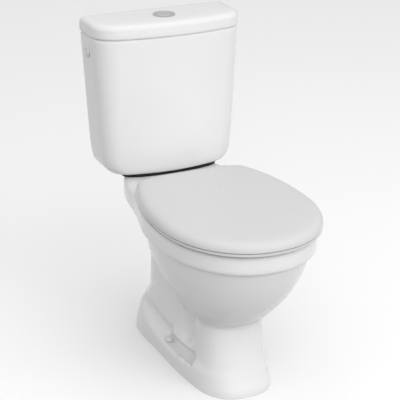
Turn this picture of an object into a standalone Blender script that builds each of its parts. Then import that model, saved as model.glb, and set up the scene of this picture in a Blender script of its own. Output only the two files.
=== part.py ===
"""Close coupled toilet: washdown pan, cistern with dual flush, seat and all its fittings.

Metres, +Z up. The front faces -Y, and +X is to the right of someone facing the toilet. The sub-parts
are drawn from the wall, where y = 0, and the empty "toilet" then carries all of them back by
HALF_DEPTH, so that the part's origin lies on the floor under the middle of its footprint.
"""

import math

import bmesh
import bpy
from mathutils import Matrix, Vector

GAP = 0.0003
HALF_DEPTH = 0.3345

# Pan
RIM_TOP = 0.400
RIM_BAND = 0.045
RIM_FRONT = -0.655
RIM_MIDDLE = -0.400
RIM_HALF_WIDTH = 0.181
DECK_BACK = -0.015
DECK_HALF_WIDTH = 0.150
DECK_NECK = -0.200
INLET_Y = -0.072
INLET_RADIUS = 0.033
FLUSH_WAY_Z = 0.352
FLUSH_WAY_RADIUS = 0.022
TRAP_RADIUS = 0.038
OUTLET_Y = -0.190
FOOT_HALF_WIDTH = 0.105
FOOT_FRONT = -0.5365
FOOT_BACK = -0.064
SEAT_HOLE_X = 0.0775
SEAT_HOLE_RADIUS = 0.007
FLOOR_HOLE_X = 0.0865
FLOOR_HOLE_Y = -0.285
FLOOR_HOLE_RADIUS = 0.006
FOOT_LEDGE = 0.042
FOOT_NECK = -0.150

# Cistern
TANK_BASE = 0.4066
TANK_TOP = 0.7405
TANK_BACK = -0.001
TANK_TOP_HALF_WIDTH = 0.1835
TANK_WALL = 0.009
TANK_BOW = 0.024
TANK_BACK_CORNER = 0.005
TANK_FLOOR = 0.014
LID_TOP = 0.7755
LID_HALF_WIDTH = 0.1855
LID_FRONT = -0.146
LID_CORNER = 0.062
VALVE_Y = -0.072
VALVE_HOLE_RADIUS = 0.030
SPIGOT_RADIUS = 0.029
SPIGOT_BORE = 0.0235
RISER_RADIUS = 0.0122
TANK_BOLT_X = 0.065
TANK_BOLT_RADIUS = 0.004
SIDE_HOLE_Y = -0.045
SIDE_HOLE_Z = 0.700
SIDE_HOLE_RADIUS = 0.0105
ARM_PIVOT_X = 0.108
ARM_PIVOT_Z = 0.688
ARM_LENGTH = 0.055
ARM_DROP = 20

# Seat
HINGE_Y = -0.215
HINGE_Z = 0.4215
PIN_RADIUS = 0.003
HINGE_EYE = 0.007
RING_BOTTOM = 0.404
RING_EDGE_TOP = 0.4135
SEAT_LID_BOTTOM = 0.4145
SEAT_LID_TOP = 0.4385
SEAT_HALF_WIDTH = 0.1825
SEAT_FRONT = -0.669
SEAT_MIDDLE = -0.450
SEAT_REACH = 0.317
SEAT_BACK = -0.199
SEAT_CORNER = 0.016
SEAT_STEPS = 32

# Flush button
BUTTON_RADIUS = 0.0183
BUTTON_HOLE_RADIUS = 0.0215
BUTTON_BOTTOM = 0.7690
BUTTON_SPLIT = 0.0008
ROD_X = 0.009
ROD_RADIUS = 0.0025
ROD_LOW = 0.6600


def cleared_scene():
    for obj in list(bpy.data.objects):
        bpy.data.objects.remove(obj)


def material(name, colour, roughness, metallic=0.0):
    mat = bpy.data.materials.new(name)
    mat.use_nodes = True
    shader = mat.node_tree.nodes["Principled BSDF"]
    shader.inputs["Base Color"].default_value = (*colour, 1.0)
    shader.inputs["Roughness"].default_value = roughness
    shader.inputs["Metallic"].default_value = metallic
    return mat


def finishes():
    return {
        "china": material("china", (0.86, 0.86, 0.85), 0.08),
        "seat_plastic": material("seat_plastic", (0.83, 0.83, 0.82), 0.25),
        "chrome": material("chrome", (0.75, 0.76, 0.78), 0.08, 1.0),
        "white_plastic": material("white_plastic", (0.80, 0.80, 0.78), 0.40),
        "blue_plastic": material("blue_plastic", (0.10, 0.22, 0.45), 0.45),
        "black_rubber": material("black_rubber", (0.015, 0.015, 0.015), 0.80),
        "brass": material("brass", (0.72, 0.53, 0.24), 0.30, 1.0),
        "zinc_steel": material("zinc_steel", (0.60, 0.61, 0.63), 0.35, 1.0),
    }


def object_of(name, bm, finish=None):
    bmesh.ops.recalc_face_normals(bm, faces=bm.faces)
    bmesh.ops.triangulate(bm, faces=bm.faces)
    mesh = bpy.data.meshes.new(name)
    bm.to_mesh(mesh)
    bm.free()
    mesh.shade_smooth()
    mesh.set_sharp_from_angle(angle=math.radians(35))
    obj = bpy.data.objects.new(name, mesh)
    bpy.context.scene.collection.objects.link(obj)
    if finish:
        mesh.materials.append(finish)
    return obj


def cutter(obj):
    obj.hide_render = True
    obj.display_type = "WIRE"
    return obj


def boolean(obj, operation, *others):
    for other in others:
        step = obj.modifiers.new(operation.lower(), "BOOLEAN")
        step.operation = operation
        step.object = cutter(other)
    return obj


def loft(name, loops, finish=None, closed=False):
    """Skin through loops of equal count; open lofts get a cap at both ends."""
    bm = bmesh.new()
    rings = [[bm.verts.new(point) for point in loop] for loop in loops]
    count = len(rings[0])
    pairs = list(zip(rings, rings[1:] + rings[:1])) if closed else list(zip(rings, rings[1:]))
    for low, high in pairs:
        for i in range(count):
            j = (i + 1) % count
            bm.faces.new((low[i], low[j], high[j], high[i]))
    if not closed:
        bm.faces.new(rings[0])
        bm.faces.new(list(reversed(rings[-1])))
    return object_of(name, bm, finish)


def turned(name, profile, finish=None, centre=(0, 0, 0), axis="Z", steps=12):
    """Solid of revolution from (radius, height) points; a profile off the axis makes a ring."""
    hollow = all(radius > 0 for radius, _ in profile)
    loops = []
    for radius, height in profile:
        if radius <= 0:
            continue
        loop = []
        for k in range(steps):
            angle = 2 * math.pi * k / steps
            loop.append(Vector((radius * math.cos(angle), radius * math.sin(angle), height)))
        loops.append(loop)
    turn = {"Z": Matrix(), "X": Matrix.Rotation(math.pi / 2, 4, "Y"),
            "Y": Matrix.Rotation(-math.pi / 2, 4, "X")}
    place = Matrix.Translation(centre) @ turn[axis]
    loops = [[place @ point for point in loop] for loop in loops]
    return loft(name, loops, finish, closed=hollow)


def rod(name, radius, low, high, finish=None, axis="Z", centre=(0, 0, 0), steps=12):
    return turned(name, [(0, low), (radius, low), (radius, high), (0, high)], finish, centre, axis, steps)


def block(name, low, high, finish=None, bevel=0.0):
    bm = bmesh.new()
    bmesh.ops.create_cube(bm, size=1.0)
    middle = [(a + b) / 2 for a, b in zip(low, high)]
    sides = [b - a for a, b in zip(low, high)]
    for vert in bm.verts:
        vert.co = Vector([m + s * c for m, s, c in zip(middle, sides, vert.co)])
    if bevel:
        bmesh.ops.bevel(bm, geom=list(bm.edges), offset=bevel, segments=2, profile=0.5, affect="EDGES")
    return object_of(name, bm, finish)


def eased(fraction):
    fraction = min(max(fraction, 0.0), 1.0)
    return fraction * fraction * (3 - 2 * fraction)


def power(value, exponent):
    return math.copysign(abs(value) ** exponent, value)


def egg(z, wide, front, middle, back, rear_wide=None, squareness=(2.15, 2.4), neck=None, steps=28):
    """Egg-shaped loop, optionally narrowed to rear_wide between its middle and the neck."""
    loop = []
    for k in range(steps):
        angle = 2 * math.pi * k / steps
        c, s = math.cos(angle), math.sin(angle)
        bend = squareness[0] if c > 0 else squareness[1]
        reach = middle - front if c > 0 else back - middle
        x = wide * power(s, 2 / bend)
        y = middle - reach * power(c, 2 / bend)
        if rear_wide and y > middle:
            narrowed = eased((y - middle) / (neck - middle))
            x *= 1 + (rear_wide / wide - 1) * narrowed
        loop.append(Vector((x, y, z)))
    return loop


def seat_loop(z, inset, back=SEAT_BACK):
    """Seat outline: an egg cut straight across at its back, with rounded corners there."""
    reach = SEAT_REACH - inset
    back -= inset
    loop = []
    for point in egg(z, SEAT_HALF_WIDTH - inset, SEAT_FRONT + inset, SEAT_MIDDLE, SEAT_MIDDLE + reach,
                     squareness=(2.1, 2.25), steps=SEAT_STEPS):
        over = point.y - (back - SEAT_CORNER)
        if over > 0:
            room = SEAT_MIDDLE + reach - (back - SEAT_CORNER)
            push = SEAT_CORNER * math.sin(min(over / room, 1.0) * math.pi / 2)
            point = Vector((point.x, back - SEAT_CORNER + push, z))
        loop.append(point)
    return loop


def box_loop(z, half, front, back, bow, corner, back_corner, steps=4):
    """Cistern outline: flat back, straight sides, bowed front and round corners."""
    loop = []

    def arc(cx, cy, radius, start):
        for k in range(steps + 1):
            angle = math.radians(start + 90 * k / steps)
            loop.append(Vector((cx + radius * math.cos(angle), cy + radius * math.sin(angle), z)))

    arc(half - back_corner, back - back_corner, back_corner, 0)
    arc(-half + back_corner, back - back_corner, back_corner, 90)
    inner = half - corner
    shoulder = front + bow * (inner / half) ** 2
    arc(-inner, shoulder + corner, corner, 180)
    for k in range(1, 6):
        x = -inner + 2 * inner * k / 6
        loop.append(Vector((x, front + bow * (x / half) ** 2, z)))
    arc(inner, shoulder + corner, corner, 270)
    return loop


def tube(name, points, radius, finish=None, sides=2, smooth=True):
    curve = bpy.data.curves.new(name, "CURVE")
    curve.dimensions = "3D"
    curve.bevel_depth = radius
    curve.bevel_resolution = sides
    curve.use_fill_caps = True
    curve.resolution_u = 4 if smooth else 1
    spline = curve.splines.new("BEZIER" if smooth else "POLY")
    if smooth:
        spline.bezier_points.add(len(points) - 1)
        for knot, point in zip(spline.bezier_points, points):
            knot.co = point
            knot.handle_left_type = knot.handle_right_type = "AUTO"
    else:
        spline.points.add(len(points) - 1)
        for knot, point in zip(spline.points, points):
            knot.co = (*point, 1)
    guide = bpy.data.objects.new(name + "_guide", curve)
    bpy.context.scene.collection.objects.link(guide)
    mesh = bpy.data.meshes.new_from_object(guide.evaluated_get(bpy.context.evaluated_depsgraph_get()))
    bpy.data.objects.remove(guide)
    bm = bmesh.new()
    bm.from_mesh(mesh)
    bpy.data.meshes.remove(mesh)
    bmesh.ops.remove_doubles(bm, verts=bm.verts, dist=1e-6)
    return object_of(name, bm, finish)


def pan(china):
    """Bowl shell with its deck, front column, trapway column and foot, all one casting."""
    rim_low = RIM_TOP - RIM_BAND
    wide, front = RIM_HALF_WIDTH, RIM_FRONT
    deck, square = DECK_HALF_WIDTH, (2.2, 3)
    body = loft("pan", [
        egg(0.168, 0.078, -0.500, -0.440, -0.400, squareness=(2.1, 2.2)),
        egg(0.185, 0.090, -0.525, -0.430, -0.368, squareness=(2.1, 2.2)),
        egg(0.220, 0.117, -0.564, -0.425, -0.330, squareness=(2.1, 2.2)),
        egg(0.260, 0.141, -0.596, -0.420, -0.285, squareness=(2.1, 2.2)),
        egg(0.300, 0.158, -0.621, -0.415, -0.225, squareness=(2.1, 2.3)),
        egg(0.330, 0.167, -0.635, -0.410, -0.130, 0.135, (2.1, 3), DECK_NECK),
        egg(rim_low - 0.006, 0.172, -0.643, -0.405, -0.050, 0.140, (2.1, 3), DECK_NECK),
        egg(rim_low, wide - 0.002, front + 0.003, RIM_MIDDLE, DECK_BACK - 0.004, deck - 0.002, square,
            DECK_NECK),
        egg(RIM_TOP - 0.006, wide, front, RIM_MIDDLE, DECK_BACK, deck, square, DECK_NECK),
        egg(RIM_TOP, wide - 0.005, front + 0.005, RIM_MIDDLE, DECK_BACK - 0.004, deck - 0.005, square,
            DECK_NECK),
    ], china)
    column = loft("front_column", [
        egg(0.013, 0.090, -0.5300, -0.420, -0.302, squareness=(2.4, 3)),
        egg(0.060, 0.082, -0.512, -0.420, -0.300, squareness=(2.3, 3)),
        egg(0.120, 0.077, -0.501, -0.420, -0.300, squareness=(2.2, 3)),
        egg(0.200, 0.076, -0.500, -0.420, -0.300, squareness=(2.2, 3)),
    ])
    trapway = loft("trapway_column", [
        egg(0.019, 0.084, -0.370, -0.230, -0.101, squareness=(3, 3)),
        egg(0.120, 0.082, -0.400, -0.230, -0.110, squareness=(3, 3)),
        egg(0.200, 0.080, -0.420, -0.230, -0.105, squareness=(3, 3)),
        egg(0.270, 0.078, -0.420, -0.230, -0.098, squareness=(3, 3)),
        egg(0.350, 0.085, -0.420, -0.230, -0.090, squareness=(3, 3)),
    ])
    foot = loft("foot", [
        egg(0.0, 0.100, FOOT_FRONT + 0.002, -0.250, FOOT_BACK, FOOT_HALF_WIDTH - 0.002, (3.1, 5),
            FOOT_NECK),
        egg(0.005, 0.1015, FOOT_FRONT, -0.250, FOOT_BACK - 0.002, FOOT_HALF_WIDTH, (3.1, 5), FOOT_NECK),
        egg(0.050, 0.099, -0.517, -0.250, -0.084, 0.104, (3.0, 5), FOOT_NECK),
        egg(0.072, 0.090, -0.507, -0.250, -0.100, 0.103, (2.9, 5), FOOT_NECK),
        egg(0.095, 0.080, -0.492, -0.250, -0.111, 0.1015, (2.85, 5), FOOT_NECK - 0.020),
        egg(0.120, 0.072, -0.480, -0.260, -0.128, 0.099, (2.85, 4), FOOT_NECK - 0.030),
        egg(0.136, 0.066, -0.470, -0.270, -0.147, 0.0945, (2.85, 4), FOOT_NECK - 0.040),
        egg(0.148, 0.060, -0.455, -0.270, -0.176, 0.086, (2.85, 3.5), FOOT_NECK - 0.050),
    ])
    horn = block("inlet_horn", (-0.046, -0.200, 0.310), (0.046, -0.030, 0.375), bevel=0.012)
    boolean(body, "UNION", column, trapway, foot, horn)

    bowl = loft("bowl_cut", [
        egg(0.108, 0.034, -0.415, -0.370, -0.325, squareness=(2, 2)),
        egg(0.135, 0.046, -0.440, -0.375, -0.305, squareness=(2, 2.2)),
        egg(0.180, 0.065, -0.488, -0.420, -0.298, squareness=(2, 2.2)),
        egg(0.240, 0.100, -0.552, -0.450, -0.290, squareness=(2, 2.3)),
        egg(0.300, 0.129, -0.591, -0.440, -0.275, squareness=(2.1, 2.4)),
        egg(0.355, 0.149, -0.619, -0.420, -0.262, squareness=(2.1, 2.4)),
        egg(0.374, 0.147, -0.616, -0.420, -0.264, squareness=(2.1, 2.4)),
        egg(0.386, 0.126, -0.592, -0.420, -0.276, squareness=(2.1, 2.4)),
        egg(0.410, 0.126, -0.592, -0.420, -0.276, squareness=(2.1, 2.4)),
    ])
    passage = tube("trap_cut", [
        (0, -0.372, 0.146), (0, -0.322, 0.166), (0, -0.270, 0.222), (0, -0.218, 0.236),
        (0, -0.192, 0.180), (0, OUTLET_Y, 0.100), (0, OUTLET_Y, -0.010),
    ], TRAP_RADIUS, sides=3)
    outlet = rod("outlet_cut", TRAP_RADIUS + 0.007, -0.005, 0.050, centre=(0, OUTLET_Y, 0), steps=24)
    floor = FLUSH_WAY_Z - FLUSH_WAY_RADIUS
    inlet = rod("inlet_cut", INLET_RADIUS, floor - 0.001, 0.410, centre=(0, INLET_Y, 0), steps=24)
    flush_way = rod("flush_cut", FLUSH_WAY_RADIUS, -0.290, INLET_Y, axis="Y", centre=(0, 0, FLUSH_WAY_Z),
                    steps=16)
    underside = loft("foot_cut", [
        egg(-0.005, 0.085, -0.515, -0.400, -0.262, squareness=(2.4, 6)),
        egg(0.040, 0.072, -0.495, -0.400, -0.266, squareness=(2.4, 6)),
        egg(0.078, 0.045, -0.465, -0.400, -0.290, squareness=(2.4, 4)),
    ])
    cuts = [bowl, passage, outlet, inlet, flush_way, underside]
    for side in (-1, 1):
        cuts.append(rod("tank_bolt_cut", TANK_BOLT_RADIUS + 0.0015, 0.34, 0.41,
                        centre=(side * TANK_BOLT_X, VALVE_Y, 0)))
        cuts.append(block("tank_nut_cut", (side * TANK_BOLT_X - 0.016, VALVE_Y - 0.026, 0.300),
                          (side * TANK_BOLT_X + 0.016, VALVE_Y + 0.026, 0.384)))
        cuts.append(rod("seat_hole_cut", SEAT_HOLE_RADIUS, 0.30, 0.41,
                        centre=(side * SEAT_HOLE_X, HINGE_Y, 0)))
        low, high = sorted((side * 0.060, side * 0.118))
        cuts.append(block("seat_nut_cut", (low, HINGE_Y - 0.020, 0.298), (high, HINGE_Y + 0.020, 0.380)))
        cuts.append(rod("floor_screw_cut", FLOOR_HOLE_RADIUS, -0.01, 0.060,
                        centre=(side * FLOOR_HOLE_X, FLOOR_HOLE_Y, 0)))
        low, high = sorted((side * 0.0715, side * 0.125))
        cuts.append(block("ledge_cut", (low, FLOOR_HOLE_Y - 0.016, FOOT_LEDGE),
                          (high, FLOOR_HOLE_Y + 0.016, 0.095)))
    return boolean(body, "DIFFERENCE", *cuts)


def tank(china):
    """Cistern: tapered box with an open top and holes for valves, bolts and the side inlets."""
    def section(z, half, front, corner):
        return box_loop(z, half, front, TANK_BACK, TANK_BOW, corner, TANK_BACK_CORNER)

    body = loft("cistern_tank", [
        section(TANK_BASE, 0.136, -0.128, 0.038),
        section(TANK_BASE + 0.007, 0.151, -0.134, 0.046),
        section(TANK_BASE + 0.022, 0.161, -0.137, 0.049),
        section(TANK_BASE + 0.060, 0.1675, -0.139, 0.052),
        section(TANK_TOP, TANK_TOP_HALF_WIDTH, -0.143, 0.060),
    ], china)

    def inside(z, half, front, corner):
        back = TANK_BACK - TANK_WALL
        return box_loop(z, half - TANK_WALL, front + TANK_WALL, back, TANK_BOW - 0.001, corner, 0.004)

    hollow = loft("tank_cut", [
        inside(TANK_BASE + TANK_FLOOR, 0.152, -0.129, 0.038),
        inside(TANK_BASE + 0.030, 0.161, -0.136, 0.044),
        inside(TANK_BASE + 0.060, 0.1675, -0.139, 0.046),
        inside(TANK_TOP + 0.005, TANK_TOP_HALF_WIDTH, -0.143, 0.052),
    ])
    cuts = [hollow, rod("valve_cut", VALVE_HOLE_RADIUS, 0.39, 0.44, centre=(0, VALVE_Y, 0), steps=24)]
    for side in (-1, 1):
        cuts.append(rod("bolt_cut", TANK_BOLT_RADIUS + 0.0015, 0.39, 0.44,
                        centre=(side * TANK_BOLT_X, VALVE_Y, 0)))
        low, high = sorted((side * 0.160, side * 0.190))
        cuts.append(rod("side_cut", SIDE_HOLE_RADIUS, low, high, axis="X",
                        centre=(0, SIDE_HOLE_Y, SIDE_HOLE_Z), steps=20))
    return boolean(body, "DIFFERENCE", *cuts)


def tank_lid(china):
    """Lid with a rounded, slightly domed top, hollow below, and a locating rib inside the tank."""
    def section(z, inset):
        half, front, back = LID_HALF_WIDTH - inset, LID_FRONT + inset, -inset * 0.25
        return box_loop(z, half, front, back, TANK_BOW + 0.002, LID_CORNER - inset * 0.5, TANK_BACK_CORNER)

    low = TANK_TOP + GAP
    body = loft("cistern_lid", [
        section(low, 0.0025),
        section(low + 0.0025, 0.0),
        section(LID_TOP - 0.015, 0.0),
        section(LID_TOP - 0.006, 0.003),
        section(LID_TOP - 0.002, 0.009),
        section(LID_TOP, 0.020),
    ], china)
    hollow = loft("lid_cut", [section(low - 0.005, 0.016), section(LID_TOP - 0.012, 0.020)])
    hole = rod("button_cut", BUTTON_HOLE_RADIUS, 0.75, 0.79, centre=(0, VALVE_Y, 0), steps=20)
    boolean(body, "DIFFERENCE", hollow, hole)
    ribs = []
    for side in (-1, 1):
        ribs.append(block("lid_rib", (side * 0.100 - 0.030, -0.0275, low - 0.008),
                          (side * 0.100 + 0.030, -0.0215, LID_TOP - 0.010)))
        ribs.append(block("lid_rib", (side * 0.090 - 0.035, -0.120, low - 0.008),
                          (side * 0.090 + 0.035, -0.114, LID_TOP - 0.010)))
    return boolean(body, "UNION", *ribs)


def nut(name, bore, outer, low, high, finish, centre, axis="Z", sides=6):
    """Flat-sided nut with a round bore."""
    body = rod(name, outer, low, high, finish, axis, centre, sides)
    hole = rod("nut_cut", bore, low - 0.01, high + 0.01, None, axis, centre, 20)
    return boolean(body, "DIFFERENCE", hole)


def wing_nut(name, centre, bore, height, reach, finish):
    """Nut with two flat wings along Y, its bore clear of the bolt."""
    x, y, z = centre
    hub = rod(name, bore + 0.004, 0, height, finish, centre=centre)
    wings = block("wings", (x - 0.0013, y - reach, z + height * 0.1),
                  (x + 0.0013, y + reach, z + height * 0.85))
    hole = rod("nut_cut", bore, -0.01, height + 0.01, centre=centre)
    boolean(hub, "UNION", wings)
    return boolean(hub, "DIFFERENCE", hole)


def coupling(finish):
    """Foam pad, doughnut seal and bolts that clamp the cistern to the pan's deck."""
    pad = loft("coupling_pad", [
        egg(z, 0.1215, -0.1275, -0.090, -0.030, squareness=(2.6, 2.2), steps=40)
        for z in (RIM_TOP + GAP, TANK_BASE - GAP)
    ], finish["black_rubber"])
    boolean(pad, "DIFFERENCE", rod("pad_cut", 0.0385, 0.39, 0.42, centre=(0, VALVE_Y, 0), steps=24))
    turned("doughnut_seal", [
        (SPIGOT_RADIUS + GAP, 0.3885), (0.0310, 0.3885), (0.0326, 0.3930), (0.0326, RIM_TOP),
        (SPIGOT_RADIUS + GAP, RIM_TOP),
    ], finish["black_rubber"], (0, VALVE_Y, 0), steps=20)
    for side, hand in ((-1, "left"), (1, "right")):
        x = side * TANK_BOLT_X
        floor = TANK_BASE + TANK_FLOOR
        bore = TANK_BOLT_RADIUS + GAP
        boolean(pad, "DIFFERENCE", rod("pad_cut", TANK_BOLT_RADIUS + 0.001, 0.39, 0.42,
                                       centre=(x, VALVE_Y, 0)))
        turned(f"tank_bolt_{hand}", [
            (0, 0.352), (TANK_BOLT_RADIUS, 0.352), (TANK_BOLT_RADIUS, floor + 0.0046),
            (0.0105, floor + 0.0046),
            (0.0105, floor + 0.007), (0.0075, floor + 0.0105), (0, floor + 0.0105),
        ], finish["brass"], (x, VALVE_Y, 0), steps=12)
        turned(f"tank_bolt_washer_{hand}", [
            (bore, floor + GAP), (0.013, floor + GAP), (0.011, floor + 0.0043), (bore, floor + 0.0043),
        ], finish["black_rubber"], (x, VALVE_Y, 0), steps=12)
        turned(f"tank_bolt_plate_{hand}", [
            (bore, 0.3820), (0.0125, 0.3820), (0.0125, 0.3837), (bore, 0.3837),
        ], finish["zinc_steel"], (x, VALVE_Y, 0), steps=12)
        wing_nut(f"tank_wing_nut_{hand}", (x, VALVE_Y, 0.3720), bore, 0.0097, 0.021, finish["brass"])


def flush_valve(finish):
    """Dual flush valve: spigot through the tank floor, cage and head, and the riser that lifts inside it."""
    floor = TANK_BASE + TANK_FLOOR
    centre = (0, VALVE_Y, 0)
    body = turned("flush_valve_body", [
        (SPIGOT_BORE, 0.386), (SPIGOT_RADIUS, 0.386), (SPIGOT_RADIUS, floor + 0.0035),
        (0.038, floor + 0.0035),
        (0.038, floor + 0.007), (0.034, floor + 0.010), (SPIGOT_BORE + 0.0005, floor + 0.010),
        (SPIGOT_BORE, floor + 0.009),
    ], finish["white_plastic"], centre, steps=20)
    parts = []
    for k in range(3):
        angle = math.radians(90 + 120 * k)
        x, y = 0.030 * math.cos(angle), VALVE_Y + 0.030 * math.sin(angle)
        parts.append(rod("cage_post", 0.0026, floor + 0.006, 0.660, centre=(x, y, 0), steps=10))
    for low, high, bore in ((0.500, 0.507, 0.0262), (0.600, 0.606, 0.0132)):
        parts.append(turned("cage_hoop", [(bore, low), (0.0325, low), (0.0325, high), (bore, high)],
                            centre=centre, steps=20))
    parts.append(rod("cage_head", 0.0325, 0.654, 0.664, centre=centre, steps=20))
    boolean(body, "UNION", *parts)
    for side in (-1, 1):
        boolean(body, "DIFFERENCE", rod("rod_cut", ROD_RADIUS + 0.0009, 0.64, 0.68,
                                        centre=(side * ROD_X, VALVE_Y, 0)))
    turned("flush_valve_washer", [
        (SPIGOT_RADIUS + GAP, floor + GAP), (0.037, floor + GAP), (0.037, floor + 0.0032),
        (SPIGOT_RADIUS + GAP, floor + 0.0032),
    ], finish["black_rubber"], centre, steps=20)
    nut("flush_valve_backnut", SPIGOT_RADIUS + GAP, 0.0375, RIM_TOP + 0.0004, TANK_BASE - 0.0004,
        finish["white_plastic"], centre, sides=12)
    turned("overflow_riser", [
        (0.0100, floor + 0.0145), (0.0262, floor + 0.0145), (0.0262, floor + 0.0175),
        (RISER_RADIUS, floor + 0.0215),
        (RISER_RADIUS, 0.638), (0.0100, 0.638),
    ], finish["blue_plastic"], centre)
    turned("riser_seal", [
        (0.0105, floor + 0.0104), (0.0262, floor + 0.0104), (0.0262, floor + 0.0142),
        (0.0105, floor + 0.0142),
    ], finish["black_rubber"], centre)


def flush_button(finish):
    """Chromed dual button in its bezel, with the nut below the lid and the two push rods."""
    centre = (0, VALVE_Y, 0)
    wall = BUTTON_RADIUS + 0.0005
    bezel = turned("button_bezel", [
        (wall, 0.7565), (0.0209, 0.7565), (0.0209, LID_TOP + GAP), (0.0262, LID_TOP + GAP),
        (0.0262, LID_TOP + 0.0012),
        (0.0248, LID_TOP + 0.0026), (0.0212, LID_TOP + 0.0030), (0.0195, LID_TOP + 0.0016),
        (wall, LID_TOP + 0.0004),
    ], finish["chrome"], centre, steps=24)
    boolean(bezel, "UNION", rod("bezel_floor", 0.0200, 0.7568, 0.7585, centre=centre, steps=24))
    nut("button_nut", 0.0213, 0.0275, 0.7570, 0.7630, finish["white_plastic"], centre, sides=12)
    for side, hand in ((1, "full"), (-1, "half")):
        boolean(bezel, "DIFFERENCE", rod("bezel_cut", ROD_RADIUS + 0.0008, 0.75, 0.765,
                                         centre=(side * ROD_X, VALVE_Y, 0)))
        button = turned(f"{hand}_flush_button", [
            (0, BUTTON_BOTTOM), (BUTTON_RADIUS, BUTTON_BOTTOM), (BUTTON_RADIUS, LID_TOP + 0.0010),
            (BUTTON_RADIUS - 0.0018, LID_TOP + 0.0024), (0, LID_TOP + 0.0028),
        ], finish["chrome"], centre, steps=24)
        low, high = sorted((side * BUTTON_SPLIT / 2, side * 0.03))
        boolean(button, "INTERSECT", block("button_half", (low, VALVE_Y - 0.03, 0.76),
                                           (high, VALVE_Y + 0.03, 0.79)))
        rod(f"{hand}_flush_rod", ROD_RADIUS, ROD_LOW, BUTTON_BOTTOM - GAP, finish["white_plastic"],
            centre=(side * ROD_X, VALVE_Y, 0), steps=12)


def fill_valve(finish):
    """Side inlet valve: brass shank through the wall, head, float arm on its pin, float and fill pipe."""
    y, z = SIDE_HOLE_Y, SIDE_HOLE_Z
    axis = (0, y, z)
    turned("inlet_shank", [
        (0, 0.1468), (0.0095, 0.1468), (0.0095, 0.1625), (0.0150, 0.1625), (0.0150, 0.1677),
        (0.0095, 0.1677),
        (0.0095, 0.1925), (0.0060, 0.1925), (0.0060, 0.1660), (0, 0.1660),
    ], finish["brass"], axis, "X", steps=20)
    turned("inlet_washer", [
        (0.0098, 0.1680), (0.0142, 0.1680), (0.0142, 0.1705), (0.0098, 0.1705),
    ], finish["black_rubber"], axis, "X", steps=20)
    nut("inlet_backnut", 0.0098, 0.0150, 0.1827, 0.1885, finish["brass"], axis, "X")
    head = block("fill_valve_head", (0.1180, y - 0.017, z - 0.018), (0.1465, y + 0.017, z + 0.018),
                 finish["white_plastic"], bevel=0.004)
    cheeks = [block("cheek", (ARM_PIVOT_X - 0.006, y + low, z - 0.018), (0.122, y + high, z - 0.004),
                    bevel=0.001)
              for low, high in ((-0.011, -0.007), (0.007, 0.011))]
    boolean(head, "UNION", *cheeks)
    boolean(head, "DIFFERENCE", rod("pin_cut", 0.0023, -0.02, 0.02, axis="Y",
                                    centre=(ARM_PIVOT_X, y, ARM_PIVOT_Z), steps=12))
    rod("float_arm_pin", 0.0020, -0.0125, 0.0125, finish["zinc_steel"], "Y",
        (ARM_PIVOT_X, y, ARM_PIVOT_Z), 12)
    rod("fill_pipe", 0.0060, 0.4500, z - 0.018 - GAP, finish["white_plastic"], centre=(0.1340, y, 0),
        steps=14)

    tip_x = ARM_PIVOT_X - ARM_LENGTH * math.cos(math.radians(ARM_DROP))
    tip_z = ARM_PIVOT_Z - ARM_LENGTH * math.sin(math.radians(ARM_DROP))
    arm = tube("float_arm", [(ARM_PIVOT_X, y, ARM_PIVOT_Z), (tip_x, y, tip_z)], 0.0030,
               finish["white_plastic"], 2, False)
    boolean(arm, "UNION", rod("arm_eye", 0.0050, -0.0062, 0.0062, axis="Y",
                              centre=(ARM_PIVOT_X, y, ARM_PIVOT_Z)))
    boolean(arm, "DIFFERENCE", rod("eye_cut", 0.0023, -0.02, 0.02, axis="Y",
                                   centre=(ARM_PIVOT_X, y, ARM_PIVOT_Z), steps=12))
    float_ = turned("float", [
        (0, tip_z - 0.026), (0.0150, tip_z - 0.026), (0.0180, tip_z - 0.022), (0.0180, tip_z + 0.018),
        (0.0150, tip_z + 0.022), (0, tip_z + 0.022),
    ], finish["blue_plastic"], (tip_x, y, 0), steps=20)
    socket = tube("socket_cut", [(tip_x + 0.030, y, tip_z + 0.030 * math.tan(math.radians(ARM_DROP))),
                                 (tip_x - 0.001, y, tip_z)], 0.0034, sides=2, smooth=False)
    boolean(float_, "DIFFERENCE", socket)


def side_plug(finish):
    """Blanking plug in the unused side inlet, with its nut inside."""
    axis = (0, SIDE_HOLE_Y, SIDE_HOLE_Z)
    turned("side_plug", [
        (0, -0.1585), (0.0095, -0.1585), (0.0095, -0.1825), (0.0128, -0.1825), (0.0128, -0.1835),
        (0.0105, -0.1850),
        (0, -0.1855),
    ], finish["white_plastic"], axis, "X", steps=24)
    nut("side_plug_nut", 0.0098, 0.0160, -0.1703, -0.1643, finish["white_plastic"], axis, "X")


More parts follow.
